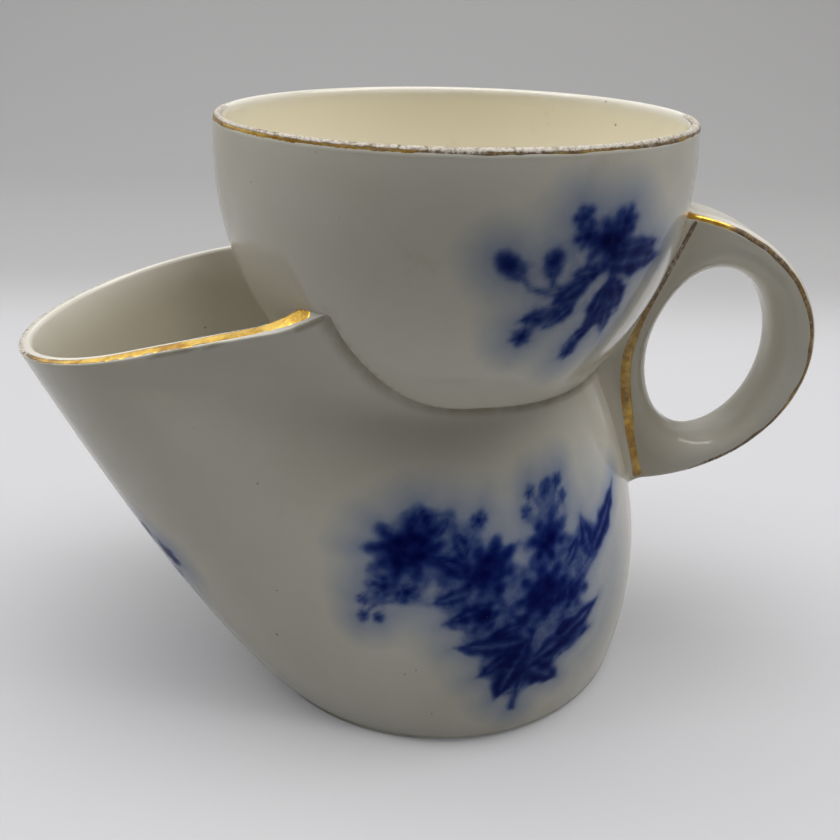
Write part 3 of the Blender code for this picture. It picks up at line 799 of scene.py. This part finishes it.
def reservoir_rings(column):
    """Rings of the reservoir by column and height: foot, outside, lip or bowl's seat, inside and floor.

    With their points come the rows where the bare foot starts and ends, and where outside and lip start.
    """
    rows = []

    def ring(height, inset, shape=None):
        points = wall(column, height if shape is None else shape, inset)
        points[..., 2] = height
        rows.append(points)

    for inset, height in ((30.0, FOOT_RECESS), (20.0, FOOT_RECESS), (10.0, FOOT_RECESS),
                          (FOOT_RING + 1.6, FOOT_RECESS), (FOOT_RING + 0.8, 1.2)):
        ring(height, inset, 0.0)
    bare_row = len(rows)
    for inset, height in ((FOOT_RING + 0.3, 0.4), (FOOT_RING - 0.3, 0.05), (FOOT_RING - 1.2, 0.0), (2.4, 0.0),
                          (1.2, 0.03)):
        ring(height, inset, 0.0)
    bare_end = len(rows) + 1
    for turn in np.linspace(0.3, 1.45, 5):
        ring(FOOT_EDGE * (1 - cos(turn)), FOOT_EDGE * (1 - sin(turn)), 0.0)
    outer_row = len(rows)
    for level in FOOT_EDGE + spread([(6.0, 0.7), (PRINT_TOP - FOOT_EDGE, 0.46)], PRINT_TOP - FOOT_EDGE):
        ring(level, 0.0)
    seat = np.minimum(mouth_edge(column, 0.0)[1], seat_height(column, 0.0))
    for share in spread([(8.0, 0.6), (14.0, 0.32)], 1.0)[1:]:
        ring(PRINT_TOP + (seat - PRINT_TOP) * share, 0.0)
    lip_row = len(rows)
    for share in np.linspace(0.0, 1.0, 21)[1:-1]:
        inset, height = mouth_edge(column, share)
        ring(np.minimum(height, seat_height(column, inset)), inset)
    depth = wall_depth(column)
    inner_top = np.minimum(mouth_edge(column, 1.0)[1], seat_height(column, depth))
    inner_foot = FLOOR_TOP + FLOOR_CORNER
    for share in np.linspace(1.0, 0.0, 34):
        ring(inner_foot + (inner_top - inner_foot) * share, depth)
    for turn in np.linspace(0.0, pi / 2, 7)[1:]:
        ring(inner_foot - FLOOR_CORNER * sin(turn), depth + FLOOR_CORNER * (1 - cos(turn)))
    for inset in (14.0, 22.0, 30.0):
        ring(FLOOR_TOP, inset)
    return np.concatenate(rows, axis=0), (bare_row, bare_end, outer_row, lip_row)


def reservoir(glaze):
    """The reservoir's rings under one skin, marked with its prints, grime and painted shade at the crease,
    chips, painted shade inside and its bare foot.
    """
    column = columns()[None, :]
    grid, (bare_row, bare_end, outer_row, lip_row) = reservoir_rings(column)
    piece = skin("reservoir_glazed", grid, material=glaze)
    x, y, height = np.moveaxis(grid, -1, 0)
    row = np.arange(len(grid))[:, None]

    def mark_rings(name, values):
        mark(piece, name, np.append(np.broadcast_to(values, height.shape), np.zeros(2)))

    arc = np.interp(np.abs(column), range(4), COLUMN_ARCS)
    near = np.where(column < 0.0, LARGE_SPRAY_ARC - arc, -999.0)
    far = np.where(column >= 0.0, LARGE_SPRAY_ARC - arc, -999.0)
    front = (COLUMN_ARCS[-1] - arc) * np.sign(column) + TIP_SPRAY_SHIFT
    ink = np.maximum(large_spray(near, height), large_spray(far, height))
    ink = np.maximum(ink, tip_spray(front, height))
    mark_rings("ink", inked(ink, (row >= outer_row) & (row < lip_row)))

    # Grime and painted shade in a band under the bowl's seat and beside the bowl; the chips on the lip are
    # wear
    gap = np.hypot(x, y) - bowl_radius(height)
    below = seat_height(column, 0.0, 0.0) - height
    crease_grime_and_shade = np.maximum(ease(1.5 - below, 0.0, 1.2), ease(1.5 - gap, 0.0, 1.5) * (height > 50.0))
    chips = ease(ripple(arc, 0.0, 17, 0.9), 0.40, 0.65) * (column > -1.95) * (column < -1.3)
    on_lip = np.abs(row - lip_row - 0.5) < 2.0
    mark_rings("grime_and_shade", np.maximum(0.9 * crease_grime_and_shade * (row < lip_row), 0.8 * chips * on_lip))
    # Painted shade inside the reservoir, deeper towards the spout's front
    inside = ease(row - lip_row, 17.0, 24.0)
    mark_rings("scale", inside * (1.2 - 0.9 * ease(x, -66.0, -40.0)))
    mark_rings("bare", (row >= bare_row) & (row < bare_end))
    return piece


# Handle


def handle_frame(turn):
    """Edge of the finger hole at each turn, the way square to it, and the limb's depth along that way.

    The depth ends on the handle's outer oval, or a little inside the bowl or reservoir.
    """
    turn = np.asarray(turn, float)
    round_hole = np.stack([np.cos(turn), np.sin(turn)], -1)
    start = HOLE_CENTRE + HOLE_HALF * round_hole
    way = round_hole / HOLE_HALF
    way /= np.linalg.norm(way, axis=-1, keepdims=True)
    p, q = (start - HANDLE_CENTRE) / HANDLE_HALF, way / HANDLE_HALF
    a, b, c = (q * q).sum(-1), (p * q).sum(-1), (p * p).sum(-1) - 1.0
    to_oval = (-b + np.sqrt(b * b - a * c)) / a
    steps = np.linspace(0.0, 40.0, 801)
    x = start[..., 0, None] + way[..., 0, None] * steps
    z = start[..., 1, None] + way[..., 1, None] * steps
    sunk = x < np.maximum(bowl_radius(z), back_radius(z)) - 2.6 + 1.6 * ease(z, 56.0, 66.0)
    to_root = np.where(sunk.any(-1), steps[np.argmax(sunk, -1)], 999.0)
    return start, way, np.minimum(to_oval, to_root), to_root < to_oval


def root_swell(x, out, z):
    """How far the handle's section swells near bowl and reservoir, so that a quarter round meets their sides.

    The swell changes the distance that it depends on, so it is found by halving the range that holds it.
    """
    near = np.maximum(bowl_radius(z), back_radius(z))
    low, high = np.zeros(np.shape(x)), np.full(np.shape(x), ROOT_FILLET)
    for _ in range(24):
        middle = (low + high) / 2
        arm = np.clip(ROOT_FILLET - (np.hypot(x, out + middle) - near), 0.0, ROOT_FILLET)
        more = ROOT_FILLET - np.sqrt(ROOT_FILLET**2 - arm**2) > middle
        low, high = np.where(more, middle, low), np.where(more, high, middle)
    return low


def handle_skin(turn, kind, share, lift=0.0):
    """Points of the handle: for each turn round the finger hole, a cross-section that runs round the limb.

    It has large rounds at the hole and small ones at the outer edge. Kinds 0 to 4 are hole wall, hole round,
    face, edge round and edge wall; kinds below zero are the same on the far side, from -1 for the hole wall.
    Near bowl and reservoir the section swells into a fillet.
    """
    start, way, depth, rooted = handle_frame(turn)
    side = np.where(kind < 0, 1.0, -1.0)
    step = np.where(kind < 0, -kind - 1, kind)
    at = [step == k for k in range(4)]
    inner = np.minimum(HOLE_ROUND, 0.60 * depth)
    outer = np.minimum(EDGE_ROUND, 0.35 * depth)
    half, hole = HANDLE_HALF_WIDTH, HANDLE_HALF_WIDTH - HOLE_ROUND
    sine, cosine = np.sin(share * pi / 2), np.cos(share * pi / 2)
    along = np.select(at, [0.0 * depth, inner * (1 - cosine), inner + (depth - inner - outer) * share,
                           depth - outer + outer * sine], depth)
    out = np.select(at, [hole * share, hole + HOLE_ROUND * sine, half + 0.0 * depth,
                         half - outer + outer * cosine], (half - outer) * (1 - share))
    lean_along = np.select(at, [-1.0, -cosine, 0.0, sine], 1.0)
    lean_out = np.select(at, [0.0, sine, 1.0, cosine], 0.0)
    x = start[..., 0] + way[..., 0] * along
    z = start[..., 1] + way[..., 1] * along
    swell = root_swell(x, out, z) + lift
    grow = swell * lean_along * np.where(rooted, 0.0, 1.0)
    y = side * (out + swell * lean_out)
    return np.stack([x + way[..., 0] * grow, y, z + way[..., 1] * grow], -1)


def handle(glaze):
    """Ring handle: cross-sections round the finger hole."""
    kinds, shares = [], []
    for kind, count in ((0, 4), (1, 10), (2, 30), (3, 8), (4, 4)):
        kinds += [kind] * count
        shares += list((np.arange(count) / count) ** (0.75 if kind == 2 else 1.0))
    kinds += [-1 - kind for kind in kinds[::-1]]
    shares += shares[::-1]
    kinds.insert(len(kinds) // 2, 4)
    shares.insert(len(shares) // 2, 1.0)
    kinds, shares = kinds[:-1], shares[:-1]
    turn = np.linspace(0.0, 2 * pi, 361)[:-1]
    grid = handle_skin(turn[:, None], np.array(kinds)[None, :], np.array(shares)[None, :])
    piece = skin("handle_glazed", grid, closed=True, material=glaze)
    # Painted shade on the handle's sides near its root, fading out towards the finger hole
    mark(piece, "scale", 1.0 - ease(grid[..., 0].ravel(), 36.0, 50.0))
    return piece


# Gilding


def gilt(name, surface, rub, gold, closed=False):
    """A gold film as a closed strip: its top follows surface(lift) over a grid, its back lies in the glaze.

    The top is high in the middle, and sinks into the glaze at its edges and where it is rubbed away.
    """
    rows, across = rub.shape
    middle = np.sin(pi * np.arange(across) / (across - 1)) ** 0.5
    lift = GILT_LIFT * middle - 0.10 * (1 - middle) - 0.20 * ease(rub, 0.86, 1.0)
    if not closed:
        end = np.minimum(np.arange(rows), np.arange(rows)[::-1])[:, None]
        lift = np.where(end == 0, -GILT_SINK, lift)
    face = surface(np.maximum(lift, -GILT_SINK + 0.02))
    rear = surface(np.full((rows, across), -GILT_SINK - 0.03))
    piece = skin(name, np.concatenate([face, rear[:, ::-1]], axis=1), closed=closed, material=gold)
    marks = np.concatenate([rub, rub[:, ::-1]], axis=1).ravel()
    mark(piece, "rub", marks if closed else np.append(marks, [1.0, 1.0]))
    return piece


def bowl_rim_line(gold):
    """Gold line over the bowl's rim: an oval arc from the outer shoulder over the top to the inner edge.

    It is brushed bright on the shoulder, rubbed to specks over the top and brown at the inner edge.
    """
    turn = np.linspace(0.0, 2 * pi, 1101)[:-1, None]
    place = BOWL_RIM_RADIUS * turn
    share = np.linspace(0.0, 1.0, 19)[None, :]
    low = 0.03 + 0.16 * ripple(place, 0.0, 3, 6.0) + 0.12 * ripple(place, 0.0, 4, 1.4)
    angle = low + (2.72 - low) * share
    left = ease(-np.cos(turn), 0.15, 0.85)
    far = ease(np.sin(turn), -0.25, 0.15)
    line = 0.20 + 0.29 * (1.0 - left) + 0.30 * (1.0 - left) * (ripple(place, 0.0, 9, 4.0) - 0.5)
    line = line + 0.12 * (ripple(place, 4.0 * share, 5, 0.8) - 0.5) + 0.40 * far
    top = 0.62 + 0.12 * ripple(place, 3.0 * share, 7, 0.7) + 0.10 * ripple(place, 0.0, 6, 9.0) + 0.26 * far
    rub = line + (top - line) * ease(angle, 0.66 + 0.10 * left, 0.94 + 0.10 * left)
    rub = rub + (0.50 - rub) * ease(angle, 2.20, 2.45) * (1.0 - far)

    def surface(lift):
        radius = BOWL_RIM_RADIUS - RIM_WALL / 2 + (RIM_WALL / 2 + lift) * np.cos(angle)
        height = BOWL_SHOULDER + (LIP_RISE + lift) * np.sin(angle)
        return np.stack([radius * np.cos(turn), radius * np.sin(turn), height], -1)

    return gilt("bowl_rim_gold", surface, rub, gold, closed=True)


def spout_rim_line(gold):
    """Gold line along the top of the spout's lip, from the bowl round the spout's front and back to the bowl.

    It is broad and bright beside the bowl on the near side, narrower and rubbed away on the rest of its way.
    """
    edge = np.linspace(-1.0, 1.0, 801)[:, None]
    away = np.abs(edge)
    column = np.sign(edge + 1e-9) * (3.0 - (3.0 - rim_start()) * away)
    place = 150.0 * edge
    share = np.linspace(0.0, 1.0, 15)[None, :]
    end = np.sqrt(np.clip((1.0 - away) / 0.007, 0.0, 1.0))
    outer = 0.09 + 0.05 * (ripple(place, 0.0, 11, 6.0) - 0.5) + 0.14 * ease(away, 0.70, 0.97)
    inner = 0.76 + 0.04 * (ripple(place, 0.0, 12, 5.0) - 0.5) + 0.14 * ease(away, 0.75, 0.97)
    inner = inner - (inner - outer) * 0.35 * ease(0.75 - away, 0.0, 0.55)
    across = (outer + inner) / 2 + (inner - outer) * end * (share - 0.5)
    kept = ease(-edge, 0.20, 0.46)
    rub = 0.10 + 0.12 * ripple(place, 2.0 * share, 14, 3.0)
    rub = rub + (1.0 - kept) * (0.44 + 0.30 * ripple(place, 3.0 * share, 13, 1.3))
    fray = ease(0.32 - share, 0.0, 0.25) * ease(0.88 + edge, 0.0, 0.12)
    rub = rub + 0.85 * fray * ripple(place, 0.0, 15, 1.6) ** 1.5

    def surface(lift):
        inset, height = mouth_edge(column, across, lift)
        return wall(column, height, inset)

    return gilt("spout_rim_gold", surface, rub, gold)


def rim_start():
    """Column at which the middle of the lip's top comes clear of the bowl."""
    column = np.linspace(0.6, 2.0, 400)
    inset, height = mouth_edge(column, np.full(400, 0.45))
    points = wall(column, height, inset)
    clear = np.hypot(points[:, 0], points[:, 1]) - bowl_radius(points[:, 2])
    return column[np.argmax(clear > 0.5)]


def handle_edge_line(side, gold):
    """Gold line on the handle's rounded outer edge: bright at its upper root, brown and thin further on."""
    turn = np.linspace(-1.62, 1.98, 521)[:, None]
    share = np.linspace(0.0, 1.0, 11)[None, :]
    place = 28.0 * turn
    wobble = 0.10 * (ripple(place, 0.0, 21, 4.0) - 0.5)
    spot = 0.06 + wobble + (0.42 + 0.15 * ripple(place, 0.0, 22, 3.0)) * share
    kind = np.full(spot.shape, 3 if side == "near" else -4)
    top = ease(turn, 0.5, 1.1) * (1.0 - ease(turn, 1.55, 1.8))
    rub = 0.46 + 0.08 * ripple(place, 3.0 * share, 23, 1.2) + 0.08 * top * ripple(place, 3.0 * share, 25, 0.7)
    rub = rub + 0.30 * ease(-turn, 0.5, 1.5) * ripple(place, 2.0 * share, 24, 2.4)
    rub = rub - 0.42 * ease(turn, 1.56, 1.75)

    def surface(lift):
        return handle_skin(np.broadcast_to(turn, spot.shape), kind, spot, lift)

    return gilt("handle_edge_gold_" + side, surface, rub, gold)


def face_depth(x, z):
    """Half width of the handle at a place on its side: flat, falling away round the outer edge."""
    away = (np.stack([x, z], -1) - HANDLE_CENTRE) / HANDLE_HALF
    inside = (1.0 - np.linalg.norm(away, axis=-1)) * HANDLE_HALF[1]
    arm = np.clip(EDGE_ROUND - inside, 0.0, EDGE_ROUND)
    half = HANDLE_HALF_WIDTH - EDGE_ROUND + np.sqrt(EDGE_ROUND**2 - arm**2)
    return half + root_swell(x, half, z)


def handle_root_line(side, gold):
    """Gold line down the handle's root: a bow that leaves the waist faster above than below it."""
    height = np.linspace(36.9, 87.9, 421)[:, None]
    share = np.linspace(0.0, 1.0, 11)[None, :]
    from_waist = height - 61.5
    bow = np.where(from_waist > 0.0, 0.40 * (np.hypot(from_waist, 5.0) - 5.0),
                   0.31 * (np.hypot(from_waist, 8.0) - 8.0))
    width = 2.0 + 0.3 * ripple(height, 0.0, 31, 6.0) - 0.8 * ease(height, 60.0, 74.0)
    width = width + 0.9 * ease(-height, -41.0, -37.0)
    x = 32.0 + bow + width * (share - 0.5)
    rub = 0.40 + 0.06 * ripple(height, 3.0 * share, 33, 4.0) + 0.16 * ease(height, 63.0, 78.0)
    sign = -1.0 if side == "near" else 1.0

    def surface(lift):
        level = np.broadcast_to(height, x.shape)
        return np.stack([x, sign * (face_depth(x, level) + lift), level], -1)

    return gilt("handle_root_gold_" + side, surface, rub, gold)


# Stage, light and camera


def stage():
    """A pale table that sweeps up into a grey wall: straight, a quarter round, then straight up."""
    sweep = np.linspace(0.0, pi / 2, 25)
    table = np.linspace(-0.5, 0.45, 20)
    depth = np.concatenate([[-0.9], table, 0.45 + 0.25 * np.sin(sweep[1:]), [0.70, 0.70]])
    rise = np.concatenate([np.zeros(21), 0.25 * (1 - np.cos(sweep[1:])), [0.8, 1.6]])
    across = np.linspace(-1.6, 1.6, 9)
    x, y = np.meshgrid(across, depth)
    z = np.broadcast_to(rise[:, None], x.shape)
    rows, count = x.shape
    i, j = np.meshgrid(np.arange(rows - 1), np.arange(count - 1), indexing="ij")
    first = (i * count + j).ravel()
    faces = np.stack([first, first + 1, first + count + 1, first + count], axis=1)
    mesh = bpy.data.meshes.new("table_and_wall")
    mesh.from_pydata(np.stack([x, y, z], -1).reshape(-1, 3).tolist(), [], faces.tolist())
    mesh.shade_smooth()
    mesh.materials.append(pale_table())
    floor = bpy.data.objects.new("table_and_wall", mesh)
    bpy.context.scene.collection.objects.link(floor)


def stand(item, across, up, back, place):
    """Puts a lamp or camera into the scene: its three ways and its place are its matrix's columns."""
    rows = np.column_stack([across, up, back, place]).tolist()
    item.matrix_world = Matrix(rows + [[0.0, 0.0, 0.0, 1.0]])
    bpy.context.scene.collection.objects.link(item)


def lamp(name, place, aim, size, power, colour):
    """A soft rectangular light at a place, turned towards an aim."""
    light = bpy.data.lights.new(name, "AREA")
    light.shape = "RECTANGLE"
    light.size, light.size_y = size
    light.energy = power
    light.color = colour
    z = np.array(place, float) - aim
    z /= np.linalg.norm(z)
    x = np.cross((0.0, 1.0, 0.001), z)
    x /= np.linalg.norm(x)
    stand(bpy.data.objects.new(name, light), x, np.cross(z, x), z, place)


def camera():
    """The camera of the photograph, from its fit to the rim, base, crease and outlines."""
    pan, pitch, roll = 0.003, 0.469, 0.021
    ahead = np.array([sin(pan) * cos(pitch), cos(pan) * cos(pitch), -sin(pitch)])
    right = np.array([cos(pan), -sin(pan), 0.0])
    up = np.cross(right, ahead)
    level = cos(roll) * right + sin(roll) * up
    upright = -sin(roll) * right + cos(roll) * up
    data = bpy.data.cameras.new("photo_camera")
    data.sensor_width = 36.0
    data.lens = 36.0
    data.clip_start = 0.005
    item = bpy.data.objects.new("photo_camera", data)
    stand(item, level, upright, -ahead, ((AXIS_X - 5.10) * MM, -0.14566, 0.11956))
    bpy.context.scene.camera = item


def light_room():
    """Two soft windows, in a room that is pale to the eye and in the glaze but gives little light."""
    world = bpy.data.worlds.new("room")
    world.use_nodes = True
    nodes, links = world.node_tree.nodes, world.node_tree.links
    dim, pale = nodes["Background"], nodes.new("ShaderNodeBackground")
    room = nodes.new("ShaderNodeMixShader")
    for node, colour, strength in ((dim, (1.0, 0.96, 0.88), 0.02), (pale, (0.36, 0.36, 0.365), 1.0)):
        node.inputs["Color"].default_value = (*colour, 1.0)
        node.inputs["Strength"].default_value = strength
    links.new(seen_rays(nodes, links), room.inputs[0])
    links.new(dim.outputs[0], room.inputs[1])
    links.new(pale.outputs[0], room.inputs[2])
    links.new(room.outputs[0], nodes["World Output"].inputs["Surface"])
    bpy.context.scene.world = world
    lamp("ceiling_window", (0.05, 0.03, 0.85), (0.05, 0.03, 0.05), (1.6, 0.45), 11.3, (1.0, 0.985, 0.96))
    lamp("side_window", (-0.55, 0.42, 0.60), (0.0, 0.0, 0.08), (0.5, 0.6), 0.5, (0.93, 0.97, 1.0))


def main():
    """Makes every piece, the stage, the light and the camera."""
    bpy.context.scene.view_settings.view_transform = "Standard"
    glaze, gold = glazed_white(), worn_gold()
    settle(reservoir(glaze), "white_glaze", "reservoir_body", "bowl_slip_joint")
    settle(soap_bowl(glaze), "white_glaze", "soap_bowl")
    settle(handle(glaze), "white_glaze", "handle", "handle_slip_joint")
    settle(bowl_rim_line(gold), "worn_gold", "bowl_rim_gilding")
    settle(spout_rim_line(gold), "worn_gold", "spout_rim_gilding")
    for side in ("near", "far"):
        settle(handle_edge_line(side, gold), "worn_gold", "handle_edge_gilding_" + side)
        settle(handle_root_line(side, gold), "worn_gold", "handle_root_gilding_" + side)
    stage()
    light_room()
    camera()


main()
